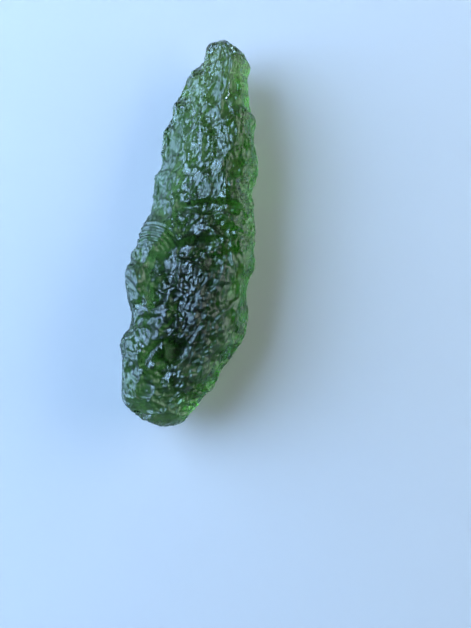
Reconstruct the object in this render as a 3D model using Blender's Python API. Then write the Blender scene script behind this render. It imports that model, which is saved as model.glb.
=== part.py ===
"""A moldavite: one natural shard of green glass, etched all over, lying on its back.

The shard is modelled in millimetres and scaled to metres at the end. X runs across it,
Y along it from the broad foot to the narrow tip, and Z up, out of its etched front.
"""

import math

import bmesh
import bpy
import numpy as np
from mathutils import Vector, kdtree, noise

NODE = "moldavite"
METRES_PER_MM = 0.001

# Mesh: segments around the shard and rings along it.
AROUND = 70
RINGS = 70
FRONT_SHARE = 0.56  # share of the segments that lie on the front
CELL_SHARE = 0.45  # how far from a point its relief is sampled, as a share of a mesh cell
POLE_RINGS = 2  # rings over which the relief fades out at the foot and the tip

# The shard seen from above, from the foot to the tip, as (across, along).
LEFT_EDGE = [
    (0.6, -19.0), (-1.0, -18.9), (-2.4, -18.3), (-3.4, -17.6), (-4.1, -16.5), (-4.3, -15.2),
    (-4.6, -13.2), (-5.0, -12.1), (-4.8, -11.1), (-4.4, -10.3), (-4.4, -8.8), (-4.9, -7.7),
    (-5.4, -6.1), (-5.5, -4.7), (-5.2, -3.9), (-5.3, -3.3), (-4.8, -2.4), (-4.6, -1.1),
    (-4.3, 0.7), (-4.2, 3.3), (-4.2, 4.8), (-3.9, 5.8), (-4.0, 7.2), (-4.1, 9.5),
    (-3.6, 11.0), (-3.7, 11.8), (-3.1, 13.1), (-2.8, 14.7), (-2.3, 15.7), (-1.5, 16.7),
    (-1.3, 17.9), (-0.6, 19.0), (0.1, 19.4),
]
RIGHT_EDGE = [
    (0.6, -19.0), (1.9, -18.4), (2.9, -17.3), (3.6, -15.9), (4.5, -15.1), (4.8, -14.1),
    (5.3, -12.4), (6.0, -11.2), (6.5, -9.7), (6.7, -8.2), (6.7, -6.6), (6.5, -5.9),
    (6.5, -3.8), (6.8, -2.9), (6.5, -0.8), (6.3, 1.0), (5.8, 3.1), (5.4, 5.0),
    (5.6, 6.4), (5.3, 8.6), (4.8, 10.5), (4.7, 11.9), (4.1, 12.5), (3.8, 13.2),
    (3.7, 14.5), (3.5, 15.5), (3.1, 17.7), (2.1, 18.5), (0.9, 19.2), (0.1, 19.4),
]

# Heights by share of the way from foot to tip: (share, front crest, back depth, middle).
# The crest and the depth are counted from the middle, which is counted from the floor.
HEIGHTS = [
    (0.00, 0.0, 0.0, 3.8), (0.03, 1.5, 1.2, 3.8), (0.08, 2.8, 2.3, 3.7), (0.16, 3.7, 3.1, 3.6),
    (0.30, 4.0, 3.6, 3.5), (0.45, 3.9, 3.6, 3.5), (0.60, 3.6, 3.2, 3.6), (0.75, 3.2, 2.8, 3.7),
    (0.88, 2.8, 2.4, 3.7), (0.96, 1.9, 1.6, 3.7), (1.00, 0.0, 0.0, 3.7),
]

# Cross-sections, anticlockwise from the right edge seen from the foot, as shares of the
# half-width and of the crest or depth. The front takes the first FRONT_CORNERS spans.
# The right edge is a thin wedge. The foot has a bevel on its left, and the tip a long slope
# there, up to a ridge.
FOOT_SECTION = [
    (1.00, 0.00), (0.96, 0.24), (0.84, 0.54), (0.62, 0.86), (0.28, 1.00), (-0.10, 1.00),
    (-0.62, 0.94), (-0.94, 0.68), (-1.00, 0.00), (-0.92, -0.42), (-0.62, -0.78), (-0.15, -1.00),
    (0.30, -0.90), (0.70, -0.52), (0.93, -0.16),
]
TIP_SECTION = [
    (1.00, 0.00), (0.95, 0.30), (0.80, 0.68), (0.44, 1.00), (0.10, 0.84), (-0.30, 0.60),
    (-0.68, 0.36), (-0.95, 0.14), (-1.00, 0.00), (-0.90, -0.42), (-0.56, -0.80), (-0.10, -1.00),
    (0.36, -0.90), (0.76, -0.52), (0.95, -0.16),
]
FRONT_CORNERS = 8
CORNER_ROUNDING = 0.55
SECTION_CHANGE = (0.40, 0.62)  # shares of the length between which foot turns to tip

# Swellings of the front: (across, along, radius across, radius along, height).
SWELLINGS = [
    (2.9, 3.6, 1.6, 1.5, 0.50), (-3.2, -1.0, 1.7, 1.7, 0.55), (-4.4, -5.6, 1.2, 2.0, 0.40),
    (-0.3, 18.0, 1.0, 0.9, 0.30), (3.9, 9.6, 1.1, 3.0, 0.35), (2.8, -6.4, 2.0, 2.6, 0.45),
    (5.3, -1.2, 1.0, 1.7, 0.35), (-3.4, -12.6, 1.4, 1.6, 0.30), (-1.2, -16.6, 2.2, 1.1, 0.25),
]

# Hollows etched deep into the front: (across, along, half length, half width, turn in
# degrees, depth, steepness). A steepness of 1 is a bowl, and more gives a flat bottom.
HOLLOWS = [
    (-1.9, -4.7, 3.5, 1.75, 84, 1.05, 1.8), (0.7, -2.0, 2.7, 1.05, 22, 0.85, 1.5),
    (1.4, 2.1, 3.1, 0.95, 5, 0.80, 1.4), (3.4, 0.2, 2.0, 0.90, -24, 0.60, 1.2),
    (3.5, -2.8, 2.0, 0.90, 30, 0.65, 1.3), (4.3, -6.0, 2.2, 0.85, 76, 0.50, 1.2),
    (0.6, -8.3, 2.1, 0.90, 58, 0.40, 1.2), (-2.2, -9.6, 1.9, 0.90, 12, 0.45, 1.2),
    (-0.2, -12.2, 2.5, 1.45, 32, 0.55, 1.5), (2.5, -12.2, 2.0, 0.90, 58, 0.35, 1.2),
    (1.2, -16.4, 2.0, 0.90, 28, 0.35, 1.2), (0.9, 8.3, 2.2, 0.90, 64, 0.40, 1.2),
    (1.9, 13.4, 2.4, 0.85, 80, 0.35, 1.2), (3.3, 6.6, 1.9, 0.85, 86, 0.40, 1.2),
    (-2.3, 10.4, 2.0, 0.90, 72, 0.35, 1.2), (-1.0, 5.3, 1.9, 0.85, 70, 0.35, 1.2),
]

# How far the edges of the hollows wander, and over what distance, in millimetres.
WANDER = 0.55
WANDER_SIZE = 1.7
WANDER_SEED = 7

# Broad pits scattered over the whole surface.
BROAD_PITS = dict(spacing=1.7, half_length=1.50, half_width=0.95, depth=0.58, seed=11)
PIT_SIZES = (0.8, 1.2)  # smallest and largest, as shares of the usual size
PIT_TURN_SPREAD = math.radians(25)
NEAREST_PITS = 8
SCATTER_TRIES = 26000  # places tried for pits, over the square of their spacing

# Slow unevenness of the glass.
UNEVEN_SIZE = 4.2
UNEVEN_HEIGHT = 0.36
UNEVEN_OCTAVES = 3

FACING_RAMP = 2  # how quickly swellings and hollows fade in from the sides to the front
SIDE_SHARE = 0.40  # how much of the relief the outline of the shard shows
NORMAL_STEP = 1e-3  # share of the surface over which its direction is measured
REST_SPOT_DEPTH = 0.48

COLOUR = (0.070, 0.150, 0.050, 1.0)
ROUGHNESS = 0.22
REFRACTION = 1.49
SMOOTH_ANGLE = math.radians(60)


def smooth(keys, values, at, rounding=1.0):
    """Values between keys, on a smooth curve through all of them."""
    keys = np.asarray(keys, float)
    values = np.asarray(values, float)
    slopes = np.gradient(values, keys, axis=0) * rounding
    span = np.clip(np.searchsorted(keys, at, side="right") - 1, 0, len(keys) - 2)
    width = keys[span + 1] - keys[span]
    part = ((at - keys[span]) / width)[..., None]
    width = width[..., None]
    start, end = values[span], values[span + 1]
    leave, arrive = slopes[span] * width, slopes[span + 1] * width
    return (
        start * (2 * part**3 - 3 * part**2 + 1)
        + leave * (part**3 - 2 * part**2 + part)
        + end * (3 * part**2 - 2 * part**3)
        + arrive * (part**3 - part**2)
    )


def along_edge(edge, share):
    """Points on an edge at shares of its length."""
    edge = np.array(edge)
    steps = np.linalg.norm(np.diff(edge, axis=0), axis=1)
    keys = np.concatenate([[0.0], np.cumsum(steps)])
    return smooth(keys / keys[-1], edge, share)


def section(corners, turn):
    """Points of a closed cross-section, at shares of the way around it."""
    spans = len(corners)
    place = np.interp(turn, [0, FRONT_SHARE, 1], [0, FRONT_CORNERS, spans])
    keys = np.arange(-2, spans + 3)
    return smooth(keys, np.array(corners)[keys % spans], place, CORNER_ROUNDING)


def body(share, turn):
    """The shard before its surface was etched: points at shares of the length and the way around."""
    left, right = along_edge(LEFT_EDGE, share), along_edge(RIGHT_EDGE, share)
    table = np.array(HEIGHTS)
    crest, depth, middle = np.moveaxis(smooth(table[:, 0], table[:, 1:], share), -1, 0)
    start, end = SECTION_CHANGE
    change = np.clip((share - start) / (end - start), 0, 1)[:, None]
    outline = (1 - change) * section(FOOT_SECTION, turn) + change * section(TIP_SECTION, turn)
    across, up = outline[:, :1], outline[:, 1]
    plan = (left + right) / 2 + across * (right - left) / 2
    height = middle + up * np.where(up > 0, crest, depth)
    return np.column_stack([plan, height])


def normals(share, turn):
    """Unit normals of the body, pointing out."""
    step = NORMAL_STEP
    share = np.clip(share, 4 * step, 1 - 4 * step)
    forward = body(share + step, turn) - body(share - step, turn)
    sideways = body(share, (turn + step) % 1) - body(share, (turn - step) % 1)
    outward = np.cross(forward, sideways)
    return outward / np.linalg.norm(outward, axis=1)[:, None]


def swell(points, facing):
    """Rise of the front's swellings at points, in millimetres."""
    rise = np.zeros(len(points))
    for across, along, radius_x, radius_y, height in SWELLINGS:
        far = ((points[:, 0] - across) / radius_x) ** 2 + ((points[:, 1] - along) / radius_y) ** 2
        rise += height * np.exp(-far)
    return rise * facing


def hollow(points, facing):
    """Depth of the hollows at points: the deepest one counts."""
    deepest = np.zeros(len(points))
    for across, along, half_length, half_width, turn, depth, steepness in HOLLOWS:
        angle = math.radians(turn)
        x, y = points[:, 0] - across, points[:, 1] - along
        lengthwise = (x * math.cos(angle) + y * math.sin(angle)) / half_length
        widthwise = (y * math.cos(angle) - x * math.sin(angle)) / half_width
        bowl = np.clip(steepness * (1 - lengthwise**2 - widthwise**2), 0, 1)
        deepest = np.maximum(deepest, depth * bowl * facing)
    return deepest


def wandered(points):
    """The points, shifted a little, so that what is placed by them gets uneven edges."""
    noise.seed_set(WANDER_SEED)
    shift = [noise.noise_vector(Vector(p) / WANDER_SIZE) for p in points]
    return points + WANDER * np.array(shift)


def uneven(points):
    """Slow unevenness at points, in millimetres."""
    return np.array([
        UNEVEN_HEIGHT * noise.fractal(Vector(p) / UNEVEN_SIZE, 1.0, 2.0, UNEVEN_OCTAVES)
        for p in points
    ])


def scatter(spacing, seed):
    """Random places on the body that keep a distance from each other."""
    rng = np.random.default_rng(seed)
    tries = int(SCATTER_TRIES / spacing**2)
    candidates = body(rng.random(tries), rng.random(tries))
    kept = []
    for point in candidates:
        if not kept or (np.linalg.norm(np.array(kept) - point, axis=1) > spacing).all():
            kept.append(point)
    return np.array(kept)


def pits(points, spacing, half_length, half_width, depth, seed):
    """Depth of scattered pits at points. Their bowls meet in sharp ridges."""
    centres = scatter(spacing, seed)
    rng = np.random.default_rng(seed + 1)
    turns = math.pi / 2 + PIT_TURN_SPREAD * rng.standard_normal(len(centres))
    sizes = rng.uniform(*PIT_SIZES, len(centres))
    tree = kdtree.KDTree(len(centres))
    for index, centre in enumerate(centres):
        tree.insert(centre, index)
    tree.balance()
    near = np.array([[found[1] for found in tree.find_n(p, NEAREST_PITS)] for p in points])
    offset = points[:, None, :] - centres[near]
    along = offset[..., 0] * np.cos(turns[near]) + offset[..., 1] * np.sin(turns[near])
    aside = np.sqrt(np.clip((offset**2).sum(axis=-1) - along**2, 0, None))
    size = sizes[near]
    bowl = 1 - (along / (half_length * size)) ** 2 - (aside / (half_width * size)) ** 2
    return depth * np.clip(bowl, 0, 1).max(axis=1)


def relief(share, turn):
    """Height of the surface over the body: swellings, unevenness, hollows and broad pits."""
    points, outward = body(share, turn), normals(share, turn)
    facing = np.clip(outward[:, 2] * FACING_RAMP, 0, 1)
    rough = uneven(points) + BROAD_PITS["depth"] / 2 - pits(points, **BROAD_PITS)
    rough *= SIDE_SHARE + (1 - SIDE_SHARE) * np.abs(outward[:, 2])
    return rough + swell(points, facing) - hollow(wandered(points), facing)


def etched(share, turn):
    """The shard's surface, its relief averaged over the mesh cell around each point."""
    around, along = CELL_SHARE / AROUND, CELL_SHARE / RINGS
    corners = [(share + i * along, turn + j * around) for i in (-1, 1) for j in (-1, 1)]
    height = np.mean([relief(np.clip(s, 0, 1), t % 1) for s, t in corners], axis=0)
    height *= np.clip(np.minimum(share, 1 - share) * RINGS / POLE_RINGS, 0, 1)
    return body(share, turn) + normals(share, turn) * height[:, None]


def rest_on_floor(points, spot_depth):
    """The points with a flat spot cut at the lowest part, which becomes the floor."""
    floor = points[:, 2].min() + spot_depth
    points[:, 2] = np.maximum(points[:, 2], floor) - floor
    points[:, :2] -= (points[:, :2].min(axis=0) + points[:, :2].max(axis=0)) / 2
    return points


def shard_mesh():
    """A sphere whose points are moved onto the etched surface, its poles at foot and tip."""
    bm = bmesh.new()
    bmesh.ops.create_uvsphere(bm, u_segments=AROUND, v_segments=RINGS, radius=1.0)
    sphere = np.array([vertex.co for vertex in bm.verts])
    share = np.arccos(np.clip(sphere[:, 2], -1, 1)) / math.pi
    turn = (np.arctan2(sphere[:, 1], sphere[:, 0]) / math.tau) % 1
    surface = rest_on_floor(etched(share, turn), REST_SPOT_DEPTH)
    for vertex, place in zip(bm.verts, surface * METRES_PER_MM):
        vertex.co = place
    bmesh.ops.triangulate(bm, faces=bm.faces)
    mesh = bpy.data.meshes.new(NODE)
    bm.to_mesh(mesh)
    bm.free()
    mesh.shade_smooth()
    mesh.set_sharp_from_angle(angle=SMOOTH_ANGLE)
    return mesh


def glass():
    """Green natural glass."""
    material = bpy.data.materials.new("moldavite_glass")
    material.use_nodes = True
    shader = material.node_tree.nodes["Principled BSDF"]
    shader.inputs["Base Color"].default_value = COLOUR
    shader.inputs["Roughness"].default_value = ROUGHNESS
    shader.inputs["IOR"].default_value = REFRACTION
    material.diffuse_color = COLOUR
    return material


def main():
    for thing in list(bpy.data.objects):
        bpy.data.objects.remove(thing)
    collection = bpy.data.collections.new("moldavite_shard")
    bpy.context.scene.collection.children.link(collection)
    shard = bpy.data.objects.new(NODE, shard_mesh())
    shard.data.materials.append(glass())
    collection.objects.link(shard)


main()
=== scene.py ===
"""A moldavite, dressed: its etched surface, see-through green glass, floor, light and camera.

The shard is worked out in millimetres from the same edges, heights, sections and hollows as
the solid in the frame. Its broad pits are in the same places, but shallower. It is then
etched with finer pits, scales, ledges and arcs, and scaled to metres at the end. X runs
across it, Y along it from the foot to the tip, and Z up, out of its front.
"""

import math

import bmesh
import bpy
import numpy as np
from mathutils import Matrix, Vector, kdtree, noise


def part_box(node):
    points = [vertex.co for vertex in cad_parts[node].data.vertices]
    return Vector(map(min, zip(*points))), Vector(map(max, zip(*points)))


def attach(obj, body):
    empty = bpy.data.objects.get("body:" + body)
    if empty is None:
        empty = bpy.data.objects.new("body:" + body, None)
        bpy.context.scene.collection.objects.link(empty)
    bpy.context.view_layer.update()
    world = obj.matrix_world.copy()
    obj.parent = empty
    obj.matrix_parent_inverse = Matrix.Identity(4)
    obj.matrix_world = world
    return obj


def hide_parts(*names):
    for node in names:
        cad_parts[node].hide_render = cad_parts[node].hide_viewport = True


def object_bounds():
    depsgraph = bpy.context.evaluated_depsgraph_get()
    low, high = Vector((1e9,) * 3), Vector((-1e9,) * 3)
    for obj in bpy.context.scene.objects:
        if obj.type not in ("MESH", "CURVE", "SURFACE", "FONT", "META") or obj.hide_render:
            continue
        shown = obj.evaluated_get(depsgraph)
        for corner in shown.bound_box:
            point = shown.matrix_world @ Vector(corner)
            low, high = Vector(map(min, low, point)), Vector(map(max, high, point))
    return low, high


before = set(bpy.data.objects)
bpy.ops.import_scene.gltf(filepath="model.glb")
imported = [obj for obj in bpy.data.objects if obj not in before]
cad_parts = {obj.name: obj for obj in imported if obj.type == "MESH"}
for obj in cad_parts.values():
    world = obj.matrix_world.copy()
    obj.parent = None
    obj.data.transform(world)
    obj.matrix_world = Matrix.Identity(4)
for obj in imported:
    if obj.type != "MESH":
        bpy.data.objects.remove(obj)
CAD_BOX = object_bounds()

NODE = "moldavite"
METRES_PER_MM = 0.001

# Mesh: segments around the shard and rings along it.
AROUND = 272
RINGS = 360
FRONT_SHARE = 0.56  # share of the way around that lies on the front
FRONT_MESH_SHARE = 0.70  # share of the segments spent on it
POLE_RINGS = 8  # rings over which the relief fades out at the foot and the tip
ETCHED_POLE_RINGS = 22  # the same for the finer etching
BOTH_ENDS = 1e-3  # share kept clear of the poles, and over which directions are measured

# The shard seen from above, from the foot to the tip, as (across, along).
LEFT_EDGE = [
    (0.6, -19.0), (-1.0, -18.9), (-2.4, -18.3), (-3.4, -17.6), (-4.1, -16.5), (-4.3, -15.2),
    (-4.6, -13.2), (-5.0, -12.1), (-4.8, -11.1), (-4.4, -10.3), (-4.4, -8.8), (-4.9, -7.7),
    (-5.4, -6.1), (-5.5, -4.7), (-5.2, -3.9), (-5.3, -3.3), (-4.8, -2.4), (-4.6, -1.1),
    (-4.3, 0.7), (-4.2, 3.3), (-4.2, 4.8), (-3.9, 5.8), (-4.0, 7.2), (-4.1, 9.5),
    (-3.6, 11.0), (-3.7, 11.8), (-3.1, 13.1), (-2.8, 14.7), (-2.3, 15.7), (-1.5, 16.7),
    (-1.3, 17.9), (-0.6, 19.0), (0.1, 19.4),
]
RIGHT_EDGE = [
    (0.6, -19.0), (1.9, -18.4), (2.9, -17.3), (3.6, -15.9), (4.5, -15.1), (4.8, -14.1),
    (5.3, -12.4), (6.0, -11.2), (6.5, -9.7), (6.7, -8.2), (6.7, -6.6), (6.5, -5.9),
    (6.5, -3.8), (6.8, -2.9), (6.5, -0.8), (6.3, 1.0), (5.8, 3.1), (5.4, 5.0),
    (5.6, 6.4), (5.3, 8.6), (4.8, 10.5), (4.7, 11.9), (4.1, 12.5), (3.8, 13.2),
    (3.7, 14.5), (3.5, 15.5), (3.1, 17.7), (2.1, 18.5), (0.9, 19.2), (0.1, 19.4),
]

# Heights by share of the way from foot to tip: (share, front crest, back depth, middle).
# The crest and the depth are counted from the middle, which is counted from the floor.
HEIGHTS = [
    (0.00, 0.0, 0.0, 3.8), (0.03, 1.5, 1.2, 3.8), (0.08, 2.8, 2.3, 3.7), (0.16, 3.7, 3.1, 3.6),
    (0.30, 4.0, 3.6, 3.5), (0.45, 3.9, 3.6, 3.5), (0.60, 3.6, 3.2, 3.6), (0.75, 3.2, 2.8, 3.7),
    (0.88, 2.8, 2.4, 3.7), (0.96, 1.9, 1.6, 3.7), (1.00, 0.0, 0.0, 3.7),
]

# Cross-sections, anticlockwise from the right edge seen from the foot, as shares of the
# half-width and of the crest or depth. The front takes the first FRONT_CORNERS spans.
# The right edge is a thin wedge. The foot has a bevel on its left, and the tip a long slope
# there, up to a ridge.
FOOT_SECTION = [
    (1.00, 0.00), (0.96, 0.24), (0.84, 0.54), (0.62, 0.86), (0.28, 1.00), (-0.10, 1.00),
    (-0.62, 0.94), (-0.94, 0.68), (-1.00, 0.00), (-0.92, -0.42), (-0.62, -0.78), (-0.15, -1.00),
    (0.30, -0.90), (0.70, -0.52), (0.93, -0.16),
]
TIP_SECTION = [
    (1.00, 0.00), (0.95, 0.30), (0.80, 0.68), (0.44, 1.00), (0.10, 0.84), (-0.30, 0.60),
    (-0.68, 0.36), (-0.95, 0.14), (-1.00, 0.00), (-0.90, -0.42), (-0.56, -0.80), (-0.10, -1.00),
    (0.36, -0.90), (0.76, -0.52), (0.95, -0.16),
]
FRONT_CORNERS = 8
CORNER_ROUNDING = 0.55
SECTION_CHANGE = (0.40, 0.62)  # shares of the length between which foot turns to tip

# Swellings of the front: (across, along, radius across, radius along, height).
SWELLINGS = [
    (2.9, 3.6, 1.6, 1.5, 0.50), (-3.2, -1.0, 1.7, 1.7, 0.55), (-4.4, -5.6, 1.2, 2.0, 0.40),
    (-0.3, 18.0, 1.0, 0.9, 0.30), (3.9, 9.6, 1.1, 3.0, 0.35), (2.8, -6.4, 2.0, 2.6, 0.45),
    (5.3, -1.2, 1.0, 1.7, 0.35), (-3.4, -12.6, 1.4, 1.6, 0.30), (-1.2, -16.6, 2.2, 1.1, 0.25),
]

# Hollows etched deep into the front: (across, along, half length, half width, turn in
# degrees, depth, steepness). A steepness of 1 is a bowl, and more gives a flat bottom.
HOLLOWS = [
    (-1.9, -4.7, 3.5, 1.75, 84, 1.05, 1.8), (0.7, -2.0, 2.7, 1.05, 22, 0.85, 1.5),
    (1.4, 2.1, 3.1, 0.95, 5, 0.80, 1.4), (3.4, 0.2, 2.0, 0.90, -24, 0.60, 1.2),
    (3.5, -2.8, 2.0, 0.90, 30, 0.65, 1.3), (4.3, -6.0, 2.2, 0.85, 76, 0.50, 1.2),
    (0.6, -8.3, 2.1, 0.90, 58, 0.40, 1.2), (-2.2, -9.6, 1.9, 0.90, 12, 0.45, 1.2),
    (-0.2, -12.2, 2.5, 1.45, 32, 0.55, 1.5), (2.5, -12.2, 2.0, 0.90, 58, 0.35, 1.2),
    (1.2, -16.4, 2.0, 0.90, 28, 0.35, 1.2), (0.9, 8.3, 2.2, 0.90, 64, 0.40, 1.2),
    (1.9, 13.4, 2.4, 0.85, 80, 0.35, 1.2), (3.3, 6.6, 1.9, 0.85, 86, 0.40, 1.2),
    (-2.3, 10.4, 2.0, 0.90, 72, 0.35, 1.2), (-1.0, 5.3, 1.9, 0.85, 70, 0.35, 1.2),
]

# How far the edges of hollows, ledges and places wander, and over what distance.
WANDER = 0.55
WANDER_SIZE = 1.7
WANDER_SEED = 7

# Broad pits over the whole surface, in the places of the solid's, and shallower, because
# the finer etching takes its share of their depth.
BROAD_PITS = dict(spacing=1.7, half_length=1.50, half_width=0.95, depth=0.30, seed=11)
PIT_SIZES = (0.8, 1.2)  # smallest and largest, as shares of the usual size
PIT_TURN_SPREAD = math.radians(25)
NEAREST_PITS = 8
SCATTER_TRIES = 26000  # places tried for pits, over the square of their spacing

# Slow unevenness of the glass.
UNEVEN_SIZE = 4.2
UNEVEN_HEIGHT = 0.36
UNEVEN_OCTAVES = 3

FACING_RAMP = 2  # how quickly what is on the front fades in from the sides
SIDE_SHARE = 0.40  # how much of the relief the outline of the shard shows
REST_SPOT_DEPTH = 0.48

# The finer etching by place on the front: (across, along, turn of its pits in degrees,
# half length, half width, depth).
ETCHING = [
    (0.0, 17.0, 73, 0.60, 0.24, 0.16), (-1.5, 13.8, 70, 0.70, 0.24, 0.18),
    (-2.6, 10.7, 68, 0.60, 0.24, 0.18), (-2.8, 6.7, 73, 0.75, 0.25, 0.18),
    (-0.2, 8.1, 76, 0.90, 0.26, 0.20), (-2.9, 2.7, 63, 0.50, 0.28, 0.18),
    (0.3, 4.7, 78, 0.80, 0.26, 0.20), (2.1, 15.8, 93, 0.90, 0.26, 0.10),
    (3.4, 10.6, 88, 0.95, 0.28, 0.09), (3.5, 6.6, 93, 0.90, 0.28, 0.10),
    (5.1, 0.9, 68, 0.60, 0.26, 0.16), (-3.3, -1.3, 88, 0.50, 0.24, 0.12),
    (2.5, 0.1, 28, 0.70, 0.28, 0.20), (-1.7, -5.2, 88, 0.75, 0.34, 0.14),
    (1.2, -4.2, 68, 0.75, 0.34, 0.16), (3.2, -4.8, 70, 0.72, 0.40, 0.28),
    (2.6, -7.5, 63, 0.72, 0.42, 0.32), (0.9, -9.5, 56, 0.70, 0.40, 0.30),
    (4.2, -9.6, 70, 0.72, 0.40, 0.28), (3.2, -13.0, 63, 0.70, 0.38, 0.28),
    (2.8, -15.7, 53, 0.66, 0.36, 0.26), (-4.8, -4.5, 108, 0.65, 0.22, 0.17),
    (-4.3, -6.9, 118, 0.65, 0.21, 0.17), (-3.7, -9.7, 128, 0.65, 0.22, 0.17),
    (-3.4, -13.6, 126, 0.65, 0.22, 0.17), (-3.1, -16.1, 133, 0.65, 0.22, 0.17),
    (-1.4, -17.1, 163, 0.90, 0.26, 0.18), (0.4, -18.0, 183, 0.90, 0.26, 0.18),
    (2.1, -16.8, 218, 0.80, 0.28, 0.20), (6.0, -2.4, 88, 0.80, 0.26, 0.07),
    (6.0, -5.8, 90, 0.90, 0.26, 0.05), (5.7, -10.3, 76, 0.80, 0.26, 0.07),
    (4.2, -13.2, 63, 0.80, 0.28, 0.14),
]
BACK_ETCHING = [
    (0.0, 15.0, 82, 0.75, 0.27, 0.16), (-2.0, 6.0, 68, 0.80, 0.28, 0.20),
    (2.0, 2.0, 96, 0.85, 0.30, 0.20), (0.0, -6.0, 75, 0.85, 0.32, 0.22),
    (-2.5, -12.0, 110, 0.70, 0.28, 0.18), (2.0, -13.0, 60, 0.80, 0.30, 0.22),
    (0.0, -18.0, 180, 0.80, 0.26, 0.16),
]
ETCHED_PITS = dict(step=0.75, aside=0.36, size=0.85, depth=1.10, spread=12, seed=21)
FINE_PITS = dict(step=0.36, aside=0.22, size=0.45, depth=0.55, spread=25, seed=31)
NEAREST_ETCHED = 12
ETCHED_ROUNDNESS = 1.4  # 1 is a cone and 2 a bowl
ETCHED_SIZES = (0.75, 1.3)
ETCHED_DEPTHS = (0.6, 1.35)
ROW_SHAKE = 0.4  # how far a pit is moved off its row, as a share of the step
LOOP_POINTS = 40  # points on which a row's length is measured
FRONT_LIMIT = -0.3  # pits that face further down than this are the back's
TABLE_FALLOFF = 4  # how quickly a row of the tables gives way to the next
TABLE_BLUR = 0.05

# Rows of ledges on the front: (across, along, half length, half width, turn of the rows in
# degrees, step between rows, height).
LEDGES = [
    (2.6, -8.6, 7.0, 2.9, 62, 0.95, 0.24), (-0.4, -16.8, 3.2, 1.8, -14, 0.75, 0.12),
    (-0.4, 8.5, 5.5, 2.6, 70, 0.9, 0.07),
]
LEDGE_DROP = 0.25  # share of each step over which a ledge drops off
LEDGE_FADE = 2

# Places left smooth by the etching: (across, along, half length, half width, turn, share).
SMOOTH_SPOTS = [
    (-0.1, -12.3, 2.0, 1.05, 34, 0.95), (3.3, 3.4, 1.2, 0.9, 30, 0.60),
    (6.0, -6.5, 3.6, 0.80, 88, 0.55),
]

# The whorl: arcs round a point on the left edge, like a fingerprint.
WHORL_CENTRE = (-3.4, -3.5)
WHORL_RADII = (1.3, 3.7)
WHORL_TURNS = (25, 150)
WHORL_STEP = 0.50
WHORL_HEIGHT = 0.12
WHORL_FADE = 3  # steepness with which the arcs fade out at their ends
WHORL_TURN_FADE = 15
WHORL_COVER = 0.7  # share of the pits that the arcs take away

# Thin ridges that cross the hollows: each a line of (across, along) points.
RIDGES = [
    [(1.8, -2.5), (2.9, -2.2), (3.9, -2.4), (3.8, -4.0), (3.4, -5.6)],
    [(4.4, -2.2), (4.7, -3.3), (4.9, -4.5)],
    [(-2.6, -6.2), (-1.4, -6.6), (-0.2, -6.1), (0.8, -6.4)],
]
RIDGE_HEIGHT = 0.26
RIDGE_WIDTH = 0.16

# Painted shade, tinted into the glass, mostly in the hollows: (across, along, half length, half
# width, turn).
PAINTED_SHADE_PLACES = [
    (-1.4, -4.4, 3.8, 2.0, 84), (0.3, -1.6, 2.2, 1.0, 15), (0.2, -10.9, 3.2, 1.8, 55),
    (0.2, -5.6, 2.6, 1.9, 90), (2.4, -8.4, 6.0, 1.8, 78), (-3.0, 7.0, 7.0, 1.3, 85),
    (-0.6, -16.4, 2.8, 1.6, 160),
]
PAINTED_SHADE_TINT = (0.46, 0.56, 0.54, 1.0)

# Places where the etching left a satin surface: (across, along, half length, half width, turn).
SATIN_PLACES = [
    (3.2, -8.6, 7.6, 2.7, 78), (-4.6, -6.0, 4.2, 1.3, 88), (-3.7, -14.2, 3.6, 1.5, 98),
    (-0.4, -16.6, 3.6, 2.0, 165), (-3.3, 3.5, 8.0, 1.3, 88), (-2.2, -9.6, 2.4, 1.7, 20),
    (1.6, 4.2, 1.2, 1.0, 30), (1.0, 14.6, 3.8, 0.8, 86),
]
SATIN_ROUGHNESS = 0.40
PLACE_SHARPNESS = 1.5  # of the edges of the darker and satin places

# A clear facet that leans to the right: (across, along, half length, half width, turn).
FACET = (-0.1, -12.3, 2.2, 1.25, 34)
FACET_SLOPE = 0.42
FACET_SHARPNESS = 3

# Where the pits turn into raised scales: (across, along, half length, half width, turn).
SCALES = [(2.7, -8.8, 7.4, 2.6, 78), (-0.6, -9.4, 2.0, 1.6, 60)]
SCALE_RISE = 2.3  # 1 takes the pits away, and 2 raises them as high as they were deep

# The finest etching is a bump of long cells: their turn and their number per metre.
CELL_TURN = math.radians(20)
CELL_SCALE = (5200, 2400, 4500)
CELL_BUMP = (0.6, 0.00004)  # strength, and distance in metres
GRAIN_PER_METRE = 6000.0
GRAIN_DETAIL = 3.0
GRAIN_BUMP = (0.25, 0.00004)

GLASS_REFRACTION = 1.49
ABSORPTION_COLOUR = (0.44, 0.64, 0.20, 1.0)
ABSORPTION_DENSITY = 680.0
# The glass is tinted darker towards the tip.
TIP_TINT = (0.62, 0.60, 0.48, 1.0)
TIP_TINT_FROM = (0.004, 0.018)  # metres along the shard between which it comes in
PATCHES_PER_METRE = 900.0
PATCH_DETAIL = 4.0
PATCH_RANGE = (0.3, 0.7)
PATCH_ROUGHNESS = (0.17, 0.36)
PATCH_TINTS = ((0.78, 0.90, 0.76, 1), (0.95, 1.0, 0.93, 1))
POLISHED_ROUGHNESS = 0.10

# Softboxes: (name, place in metres, size in metres, radiance, colour, seen in the gloss).
SOFTBOXES = [
    ("window", (-0.20, 0.03, 0.14), 0.25, 13.0, (0.40, 0.66, 0.96), True),
    ("low_window", (-0.27, -0.04, 0.08), 0.20, 9.0, (0.32, 0.54, 1.0), True),
    ("rim", (0.20, 0.08, 0.06), 0.26, 5.0, (0.85, 1.0, 0.95), False),
]
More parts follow.
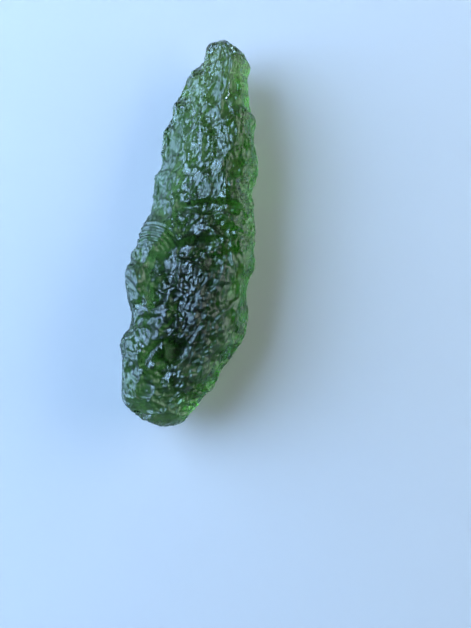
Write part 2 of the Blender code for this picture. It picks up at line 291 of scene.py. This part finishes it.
# The sky's colour by height: (height, colour).
SKY_LOW = (0.08, (0.32, 0.42, 0.45, 1.0))
SKY_HIGH = (0.42, (0.02, 0.025, 0.03, 1.0))
FLOOR_COLOUR = (0.46, 0.44, 0.46, 1.0)
FLOOR_SOFTNESS = 0.007  # how far light spreads inside it, in metres
FLOOR_SIZE = 4.0
FLOOR_DROP = 0.00003
FLOOR_ROUGHNESS = 0.9
FLOOR_SPECULAR = 0.2

# The picture's frame and the middle of the shard in it, in pixels.
PHOTO_SIZE = (471, 628)
SHARD_AT = (197, 230)
SHARD_LENGTH_PX = 391
SHARD_LENGTH = 0.038
SHARD_LEAN = math.radians(8.38)
LENS = 50.0
SENSOR = 36.0
CAMERA_TILT = math.radians(5)
CLIP_RANGE = (0.005, 10.0)


def smooth(keys, values, at, rounding=1.0):
    """Values between keys, on a smooth curve through all of them."""
    keys = np.asarray(keys, float)
    values = np.asarray(values, float)
    slopes = np.gradient(values, keys, axis=0) * rounding
    span = np.clip(np.searchsorted(keys, at, side="right") - 1, 0, len(keys) - 2)
    width = keys[span + 1] - keys[span]
    part = ((at - keys[span]) / width)[..., None]
    width = width[..., None]
    start, end = values[span], values[span + 1]
    leave, arrive = slopes[span] * width, slopes[span + 1] * width
    return (
        start * (2 * part**3 - 3 * part**2 + 1)
        + leave * (part**3 - 2 * part**2 + part)
        + end * (3 * part**2 - 2 * part**3)
        + arrive * (part**3 - part**2)
    )


def along_edge(edge, share):
    """Points on an edge at shares of its length."""
    edge = np.array(edge)
    steps = np.linalg.norm(np.diff(edge, axis=0), axis=1)
    keys = np.concatenate([[0.0], np.cumsum(steps)])
    return smooth(keys / keys[-1], edge, share)


def section(corners, turn):
    """Points of a closed cross-section, at shares of the way around it."""
    spans = len(corners)
    place = np.interp(turn, [0, FRONT_SHARE, 1], [0, FRONT_CORNERS, spans])
    keys = np.arange(-2, spans + 3)
    return smooth(keys, np.array(corners)[keys % spans], place, CORNER_ROUNDING)


def body(share, turn):
    """The shard before it was etched: points at shares of the length and the way around."""
    left, right = along_edge(LEFT_EDGE, share), along_edge(RIGHT_EDGE, share)
    table = np.array(HEIGHTS)
    crest, depth, middle = np.moveaxis(smooth(table[:, 0], table[:, 1:], share), -1, 0)
    start, end = SECTION_CHANGE
    change = np.clip((share - start) / (end - start), 0, 1)[:, None]
    outline = (1 - change) * section(FOOT_SECTION, turn) + change * section(TIP_SECTION, turn)
    across, up = outline[:, :1], outline[:, 1]
    plan = (left + right) / 2 + across * (right - left) / 2
    height = middle + up * np.where(up > 0, crest, depth)
    return np.column_stack([plan, height])


def unit(vectors):
    """Vectors scaled to a length of one."""
    return vectors / np.linalg.norm(vectors, axis=1)[:, None]


def directions(share, turn):
    """Unit vectors on the body: along it towards the tip, across it to the right, and out."""
    step = BOTH_ENDS
    share = np.clip(share, 4 * step, 1 - 4 * step)
    forward = unit(body(share + step, turn) - body(share - step, turn))
    sideways = unit(body(share, (turn - step) % 1) - body(share, (turn + step) % 1))
    return forward, sideways, unit(np.cross(sideways, forward))


def swell(points, facing):
    """Rise of the front's swellings at points, in millimetres."""
    rise = np.zeros(len(points))
    for across, along, radius_x, radius_y, height in SWELLINGS:
        far = ((points[:, 0] - across) / radius_x) ** 2 + ((points[:, 1] - along) / radius_y) ** 2
        rise += height * np.exp(-far)
    return rise * facing


def ellipse(points, across, along, half_length, half_width, turn):
    """1 at the middle of a turned ellipse, seen from above, 0 on its edge, and negative beyond."""
    angle = math.radians(turn)
    x, y = points[:, 0] - across, points[:, 1] - along
    lengthwise = (x * math.cos(angle) + y * math.sin(angle)) / half_length
    widthwise = (y * math.cos(angle) - x * math.sin(angle)) / half_width
    return 1 - lengthwise**2 - widthwise**2


def hollow(points, facing):
    """Depth of the hollows at points: the deepest one counts."""
    deepest = np.zeros(len(points))
    for *place, depth, steepness in HOLLOWS:
        bowl = np.clip(steepness * ellipse(points, *place), 0, 1)
        deepest = np.maximum(deepest, depth * bowl * facing)
    return deepest


def wandered(points):
    """The points, shifted a little, so that what is placed by them gets uneven edges."""
    noise.seed_set(WANDER_SEED)
    shift = [noise.noise_vector(Vector(p) / WANDER_SIZE) for p in points]
    return points + WANDER * np.array(shift)


def uneven(points):
    """Slow unevenness at points, in millimetres."""
    return np.array([
        UNEVEN_HEIGHT * noise.fractal(Vector(p) / UNEVEN_SIZE, 1.0, 2.0, UNEVEN_OCTAVES)
        for p in points
    ])


def scatter(spacing, seed):
    """Random places on the body that keep a distance from each other."""
    rng = np.random.default_rng(seed)
    tries = int(SCATTER_TRIES / spacing**2)
    candidates = body(rng.random(tries), rng.random(tries))
    kept = []
    for point in candidates:
        if not kept or (np.linalg.norm(np.array(kept) - point, axis=1) > spacing).all():
            kept.append(point)
    return np.array(kept)


def nearest(points, centres, count):
    """For each point, the numbers of the centres nearest to it."""
    tree = kdtree.KDTree(len(centres))
    for index, centre in enumerate(centres):
        tree.insert(centre, index)
    tree.balance()
    return np.array([[found[1] for found in tree.find_n(p, count)] for p in points])


def bowls(points, centres, axes, half_lengths, half_widths, depths, count, roundness=2.0):
    """Depth at points of long bowls that meet in sharp ridges, the deepest one counting."""
    near = nearest(points, centres, count)
    offset = points[:, None, :] - centres[near]
    along = (offset * axes[near]).sum(axis=-1)
    aside = np.sqrt(np.clip((offset**2).sum(axis=-1) - along**2, 0, None))
    far = np.hypot(along / half_lengths[near], aside / half_widths[near])
    bowl = 1 - far**roundness
    return (depths[near] * np.clip(bowl, 0, 1)).max(axis=1)


def broad_pits(points, spacing, half_length, half_width, depth, seed):
    """Depth of the broad pits at points, in the places of the solid's."""
    centres = scatter(spacing, seed)
    rng = np.random.default_rng(seed + 1)
    turns = math.pi / 2 + PIT_TURN_SPREAD * rng.standard_normal(len(centres))
    sizes = rng.uniform(*PIT_SIZES, len(centres))
    axes = np.column_stack([np.cos(turns), np.sin(turns), np.zeros(len(centres))])
    depths = np.full(len(centres), depth)
    return bowls(
        points, centres, axes, half_length * sizes, half_width * sizes, depths, NEAREST_PITS
    )


def on_front(outward, ramp=FACING_RAMP):
    """1 where the surface faces up, 0 on the sides and the back, and a ramp between."""
    return np.clip(outward[:, 2] * ramp, 0, 1)


def main_form(share, turn):
    """The shard with its swellings, unevenness, hollows and broad pits, placed as the solid's."""
    points, outward = body(share, turn), directions(share, turn)[2]
    facing = on_front(outward)
    rough = uneven(points) + BROAD_PITS["depth"] / 2 - broad_pits(points, **BROAD_PITS)
    rough *= SIDE_SHARE + (1 - SIDE_SHARE) * np.abs(outward[:, 2])
    height = rough + swell(points, facing) - hollow(wandered(points), facing)
    height *= np.clip(np.minimum(share, 1 - share) * RINGS / POLE_RINGS, 0, 1)
    return points + outward * height[:, None]


def etching_at(points, upward):
    """The turn, half length, half width and depth of the finer pits at points."""
    found = np.zeros((len(points), 4))
    for table, side in ((ETCHING, upward), (BACK_ETCHING, ~upward)):
        table = np.array(table, float)
        far = np.linalg.norm(points[side][:, None, :2] - table[None, :, :2], axis=2)
        weight = 1 / (far**TABLE_FALLOFF + TABLE_BLUR)
        weight /= weight.sum(axis=1)[:, None]
        angle = np.radians(table[:, 2]) * 2
        turn = np.arctan2(weight @ np.sin(angle), weight @ np.cos(angle)) / 2
        found[side] = np.column_stack([turn, weight @ table[:, 3:]])
    return found.T


def lattice(step, aside, seed):
    """Shares of the length and of the way around, in shaken rows a step apart."""
    rng = np.random.default_rng(seed)
    shares, turns = [], []
    length = LEFT_EDGE[-1][1] - LEFT_EDGE[0][1]
    rows = int(length / step)
    for row in range(rows):
        share = (row + 0.5) / rows
        loop = np.linspace(0, 1, LOOP_POINTS)
        ring = body(np.full(LOOP_POINTS, share), loop)
        steps = np.linalg.norm(np.diff(ring, axis=0), axis=1)
        reach = np.concatenate([[0], np.cumsum(steps)])
        count = max(3, int(reach[-1] / aside))
        shaken = np.arange(count) + rng.uniform(-ROW_SHAKE, ROW_SHAKE, count)
        places = (shaken + 0.5 * (row % 2)) / count % 1
        turns.append(np.interp(places * reach[-1], reach, loop))
        shares.append(share + rng.uniform(-ROW_SHAKE, ROW_SHAKE, count) / rows)
    shares = np.clip(np.concatenate(shares), BOTH_ENDS, 1 - BOTH_ENDS)
    return shares, np.concatenate(turns)


def etched_pits(points, step, aside, size, depth, spread, seed):
    """Depth of the finer pits at points on the main form."""
    share, turn = lattice(step, aside, seed)
    centres = main_form(share, turn)
    forward, sideways, outward = directions(share, turn)
    angle, half_length, half_width, deep = etching_at(centres, outward[:, 2] > FRONT_LIMIT)
    rng = np.random.default_rng(seed + 1)
    angle = angle + np.radians(spread) * rng.standard_normal(len(angle))
    sizes = size * rng.uniform(*ETCHED_SIZES, len(angle))
    depths = deep * depth * rng.uniform(*ETCHED_DEPTHS, len(angle))
    axes = np.cos(angle)[:, None] * sideways + np.sin(angle)[:, None] * forward
    return bowls(
        points, centres, axes, half_length * sizes, half_width * sizes, depths, NEAREST_ETCHED,
        ETCHED_ROUNDNESS,
    )


def ledges(points, outward):
    """Depth at points of the rows of ledges: each row rises slowly and drops off sharply."""
    depth = np.zeros(len(points))
    for *place, step, height in LEDGES:
        turn = math.radians(place[-1])
        inside = np.clip(LEDGE_FADE * ellipse(points, *place), 0, 1) * on_front(outward)
        crossing = points[:, 1] * math.cos(turn) - points[:, 0] * math.sin(turn)
        part = (crossing / step) % 1
        drop = 1 - part / LEDGE_DROP
        rise = (part - LEDGE_DROP) / (1 - LEDGE_DROP)
        row = np.where(part < LEDGE_DROP, drop, rise)
        depth += height * inside * (1 - row)
    return depth


def within(points, outward, places, sharpness=2):
    """1 inside ellipses on the front, 0 outside them, and a short ramp between."""
    inside = np.max([ellipse(points, *place) for place in places], axis=0)
    return np.clip(sharpness * inside, 0, 1) * on_front(outward)


def facet(points, outward):
    """Depth of the leaning facet at points, more to the right and less to the left."""
    inside = within(points, outward, [FACET], FACET_SHARPNESS)
    return inside * FACET_SLOPE * (points[:, 0] - FACET[0])


def polished(points, outward):
    """How far the etching left the glass smooth at points, from 0 to 1."""
    share = np.zeros(len(points))
    for *place, most in SMOOTH_SPOTS:
        share = np.maximum(share, most * within(points, outward, [place]))
    return share


def whorl(points, outward):
    """How far points are inside the whorl, from 0 to 1, and the height of its arcs there."""
    x, y = points[:, 0] - WHORL_CENTRE[0], points[:, 1] - WHORL_CENTRE[1]
    radius, turn = np.hypot(x, y), np.degrees(np.arctan2(y, x))
    low, high = WHORL_RADII
    inside = np.clip((radius - low) * WHORL_FADE, 0, 1)
    inside *= np.clip((high - radius) * WHORL_FADE, 0, 1)
    low, high = WHORL_TURNS
    inside *= np.clip((turn - low) / WHORL_TURN_FADE, 0, 1)
    inside *= np.clip((high - turn) / WHORL_TURN_FADE, 0, 1)
    inside *= on_front(outward, WHORL_FADE)
    return inside, WHORL_HEIGHT * np.cos(math.tau * radius / WHORL_STEP)


def ridges(points, outward):
    """Height of the thin ridges at points."""
    nearest_line = np.full(len(points), np.inf)
    for line in RIDGES:
        for start, end in zip(np.array(line[:-1]), np.array(line[1:])):
            span = end - start
            part = np.clip((points[:, :2] - start) @ span / (span @ span), 0, 1)
            gap = np.linalg.norm(points[:, :2] - start - part[:, None] * span, axis=1)
            nearest_line = np.minimum(nearest_line, gap)
    rise = RIDGE_HEIGHT * np.exp(-(nearest_line / RIDGE_WIDTH) ** 2)
    return rise * on_front(outward)


def fine_etching(points, outward, polish):
    """Depth at points of all that is etched finer than the broad pits."""
    depth = etched_pits(points, **ETCHED_PITS)
    depth *= 1 - SCALE_RISE * within(wandered(points), outward, SCALES)
    depth += etched_pits(points, **FINE_PITS)
    depth += ledges(wandered(points), outward)
    depth = depth * (1 - polish) + facet(points, outward)
    inside, arcs = whorl(points, outward)
    depth = depth * (1 - WHORL_COVER * inside) - arcs * inside
    return depth - ridges(points, outward)


def shard_mesh():
    """A sphere whose points are moved onto the shard's surface, its poles at foot and tip."""
    bm = bmesh.new()
    bmesh.ops.create_uvsphere(bm, u_segments=AROUND, v_segments=RINGS, radius=1.0)
    mesh = bpy.data.meshes.new("etched_shard")
    bm.to_mesh(mesh)
    bm.free()
    sphere = np.zeros(len(mesh.vertices) * 3)
    mesh.vertices.foreach_get("co", sphere)
    sphere = sphere.reshape(-1, 3)
    share = np.arccos(np.clip(sphere[:, 2], -1, 1)) / math.pi
    turn = (np.arctan2(sphere[:, 1], sphere[:, 0]) / math.tau) % 1
    turn = np.interp(turn, [0, FRONT_MESH_SHARE, 1], [0, FRONT_SHARE, 1])
    points = main_form(share, turn)
    floor = points[:, 2].min() + REST_SPOT_DEPTH
    points[:, 2] = np.maximum(points[:, 2], floor)
    mesh.vertices.foreach_set("co", points.ravel())
    mesh.update()
    outward = np.zeros(len(points) * 3)
    mesh.vertices.foreach_get("normal", outward)
    outward = outward.reshape(-1, 3)
    polish = polished(points, outward)
    depth = fine_etching(points, outward, polish)
    depth *= np.clip(np.minimum(share, 1 - share) * RINGS / ETCHED_POLE_RINGS, 0, 1)
    etched = points - outward * depth[:, None]
    etched[:, 2] -= floor
    etched[:, 2] = np.maximum(etched[:, 2], 0)
    low, high = (np.array(corner) / METRES_PER_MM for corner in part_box(NODE))
    etched[:, :2] += (low + high)[:2] / 2 - (points.min(axis=0) + points.max(axis=0))[:2] / 2
    places = {
        "satin": within(wandered(points), outward, SATIN_PLACES, PLACE_SHARPNESS),
        "polish": polish,
        # painted shade: where the glass is tinted darker, mostly in the hollows
        "painted_shade": within(wandered(points), outward, PAINTED_SHADE_PLACES, PLACE_SHARPNESS),
    }
    for name, values in places.items():
        mesh.attributes.new(name, "FLOAT", "POINT").data.foreach_set("value", values)
    mesh.vertices.foreach_set("co", (etched * METRES_PER_MM).ravel())
    mesh.update()
    mesh.shade_smooth()
    return mesh


def glass():
    """Bottle-green glass: rough in patches, satin in places, with painted shade in places, darker
    the thicker it is.
    """
    material = bpy.data.materials.new("etched_glass")
    material.use_nodes = True
    nodes, links = material.node_tree.nodes, material.node_tree.links
    shader, output = nodes["Principled BSDF"], nodes["Material Output"]
    shader.inputs["Transmission Weight"].default_value = 1.0
    shader.inputs["IOR"].default_value = GLASS_REFRACTION
    place = nodes.new("ShaderNodeTexCoord")
    patches = nodes.new("ShaderNodeTexNoise")
    patches.inputs["Scale"].default_value = PATCHES_PER_METRE
    patches.inputs["Detail"].default_value = PATCH_DETAIL
    links.new(place.outputs["Object"], patches.inputs["Vector"])
    rough = nodes.new("ShaderNodeMapRange")
    rough.inputs["From Min"].default_value, rough.inputs["From Max"].default_value = PATCH_RANGE
    rough.inputs["To Min"].default_value, rough.inputs["To Max"].default_value = PATCH_ROUGHNESS
    links.new(patches.outputs["Fac"], rough.inputs["Value"])
    polish = nodes.new("ShaderNodeAttribute")
    polish.attribute_name = "polish"
    smoother = nodes.new("ShaderNodeMix")
    smoother.inputs["B"].default_value = POLISHED_ROUGHNESS
    links.new(polish.outputs["Fac"], smoother.inputs["Factor"])
    links.new(rough.outputs["Result"], smoother.inputs["A"])
    satin = nodes.new("ShaderNodeAttribute")
    satin.attribute_name = "satin"
    duller = nodes.new("ShaderNodeMix")
    duller.inputs["B"].default_value = SATIN_ROUGHNESS
    links.new(satin.outputs["Fac"], duller.inputs["Factor"])
    links.new(smoother.outputs["Result"], duller.inputs["A"])
    links.new(duller.outputs["Result"], shader.inputs["Roughness"])
    tint = nodes.new("ShaderNodeValToRGB")
    for stop, position, colour in zip(tint.color_ramp.elements, PATCH_RANGE, PATCH_TINTS):
        stop.position = position
        stop.color = colour
    links.new(patches.outputs["Fac"], tint.inputs["Fac"])
    split = nodes.new("ShaderNodeSeparateXYZ")
    links.new(place.outputs["Object"], split.inputs["Vector"])
    towards_tip = nodes.new("ShaderNodeMapRange")
    start, end = TIP_TINT_FROM
    towards_tip.inputs["From Min"].default_value = start
    towards_tip.inputs["From Max"].default_value = end
    links.new(split.outputs["Y"], towards_tip.inputs["Value"])
    # The glass is tinted darker towards the tip.
    tip_darkening = nodes.new("ShaderNodeMixRGB")
    tip_darkening.blend_type = "MULTIPLY"
    tip_darkening.inputs["Color2"].default_value = TIP_TINT
    links.new(towards_tip.outputs["Result"], tip_darkening.inputs["Fac"])
    links.new(tint.outputs["Color"], tip_darkening.inputs["Color1"])
    # Painted shade: the glass is tinted darker in the hollows, where shade falls.
    painted_shade = nodes.new("ShaderNodeAttribute")
    painted_shade.attribute_name = "painted_shade"
    darker = nodes.new("ShaderNodeMixRGB")
    darker.blend_type = "MULTIPLY"
    darker.inputs["Color2"].default_value = PAINTED_SHADE_TINT
    links.new(painted_shade.outputs["Fac"], darker.inputs["Fac"])
    links.new(tip_darkening.outputs["Color"], darker.inputs["Color1"])
    links.new(darker.outputs["Color"], shader.inputs["Base Color"])
    grain = nodes.new("ShaderNodeTexNoise")
    grain.inputs["Scale"].default_value = GRAIN_PER_METRE
    grain.inputs["Detail"].default_value = GRAIN_DETAIL
    links.new(place.outputs["Object"], grain.inputs["Vector"])
    lengthen = nodes.new("ShaderNodeMapping")
    lengthen.inputs["Rotation"].default_value = (0, 0, CELL_TURN)
    lengthen.inputs["Scale"].default_value = CELL_SCALE
    links.new(place.outputs["Object"], lengthen.inputs["Vector"])
    cells = nodes.new("ShaderNodeTexVoronoi")
    cells.inputs["Scale"].default_value = 1.0
    links.new(lengthen.outputs["Vector"], cells.inputs["Vector"])
    chips = nodes.new("ShaderNodeBump")
    chips.inputs["Strength"].default_value, chips.inputs["Distance"].default_value = CELL_BUMP
    links.new(cells.outputs["Distance"], chips.inputs["Height"])
    bump = nodes.new("ShaderNodeBump")
    bump.inputs["Strength"].default_value, bump.inputs["Distance"].default_value = GRAIN_BUMP
    links.new(grain.outputs["Fac"], bump.inputs["Height"])
    links.new(chips.outputs["Normal"], bump.inputs["Normal"])
    links.new(bump.outputs["Normal"], shader.inputs["Normal"])
    absorb = nodes.new("ShaderNodeVolumeAbsorption")
    absorb.inputs["Color"].default_value = ABSORPTION_COLOUR
    absorb.inputs["Density"].default_value = ABSORPTION_DENSITY
    links.new(absorb.outputs["Volume"], output.inputs["Volume"])
    return material


def make_shard():
    """The dressed shard, in place of the solid."""
    shard = bpy.data.objects.new("etched_shard", shard_mesh())
    bpy.context.scene.collection.objects.link(shard)
    shard.data.materials.append(glass())
    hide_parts(NODE)
    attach(shard, "root")


def make_floor():
    """A plain pale floor just under the shard."""
    bpy.ops.mesh.primitive_plane_add(size=FLOOR_SIZE, location=(0, 0, -FLOOR_DROP))
    floor = bpy.context.object
    floor.name = "floor"
    material = bpy.data.materials.new("pale_floor")
    material.use_nodes = True
    shader = material.node_tree.nodes["Principled BSDF"]
    shader.inputs["Base Color"].default_value = FLOOR_COLOUR
    shader.inputs["Roughness"].default_value = FLOOR_ROUGHNESS
    shader.inputs["Specular IOR Level"].default_value = FLOOR_SPECULAR
    shader.inputs["Subsurface Weight"].default_value = 1.0
    shader.inputs["Subsurface Radius"].default_value = (1, 1, 1)
    shader.inputs["Subsurface Scale"].default_value = FLOOR_SOFTNESS
    floor.data.materials.append(material)


def softbox(name, place, size, radiance, colour, in_gloss):
    """A square light at a place, turned to the shard."""
    light = bpy.data.lights.new(name, "AREA")
    light.size = size
    light.energy = radiance * math.pi * size**2
    light.color = colour
    lamp = bpy.data.objects.new(name, light)
    lamp.location = place
    lamp.rotation_euler = Vector(place).to_track_quat("Z", "Y").to_euler()
    lamp.visible_camera = False
    lamp.visible_glossy = in_gloss
    bpy.context.scene.collection.objects.link(lamp)


def make_light():
    """Soft cool daylight from the left, a rim light from the right, and a sky dark on top."""
    world = bpy.data.worlds.new("sky")
    world.use_nodes = True
    nodes, links = world.node_tree.nodes, world.node_tree.links
    place = nodes.new("ShaderNodeTexCoord")
    split = nodes.new("ShaderNodeSeparateXYZ")
    sky = nodes.new("ShaderNodeValToRGB")
    low, high = sky.color_ramp.elements
    low.position, low.color = SKY_LOW
    high.position, high.color = SKY_HIGH
    links.new(place.outputs["Generated"], split.inputs["Vector"])
    links.new(split.outputs["Z"], sky.inputs["Fac"])
    links.new(sky.outputs["Color"], nodes["Background"].inputs["Color"])
    bpy.context.scene.world = world
    for row in SOFTBOXES:
        softbox(*row)
    bpy.context.scene.view_settings.view_transform = "Standard"


def make_camera():
    """A camera that looks down on the shard and shows it at its place in the picture."""
    data = bpy.data.cameras.new("camera")
    data.lens = LENS
    data.sensor_width = SENSOR
    data.sensor_fit = "VERTICAL"
    data.sensor_height = SENSOR
    data.clip_start, data.clip_end = CLIP_RANGE
    camera = bpy.data.objects.new("camera", data)
    bpy.context.scene.collection.objects.link(camera)
    bpy.context.scene.camera = camera
    width, height = PHOTO_SIZE
    metres_per_px = SHARD_LENGTH / SHARD_LENGTH_PX
    distance = height * metres_per_px * LENS / SENSOR
    low, high = CAD_BOX
    target = Vector((0, 0, high[2] / 2))
    right = Vector((math.cos(SHARD_LEAN), math.sin(SHARD_LEAN), 0))
    up = Vector((-math.sin(SHARD_LEAN), math.cos(SHARD_LEAN), 0))
    back = Matrix.Rotation(CAMERA_TILT, 3, right) @ Vector((0, 0, 1))
    up = back.cross(right)
    offset_x = (width / 2 - SHARD_AT[0]) * metres_per_px
    offset_y = (SHARD_AT[1] - height / 2) * metres_per_px
    place = target + right * offset_x + up * offset_y + back * distance
    turn = Matrix((right, up, back)).transposed().to_4x4()
    camera.matrix_world = Matrix.Translation(place) @ turn


def main():
    make_camera()
    make_shard()
    make_floor()
    make_light()


main()
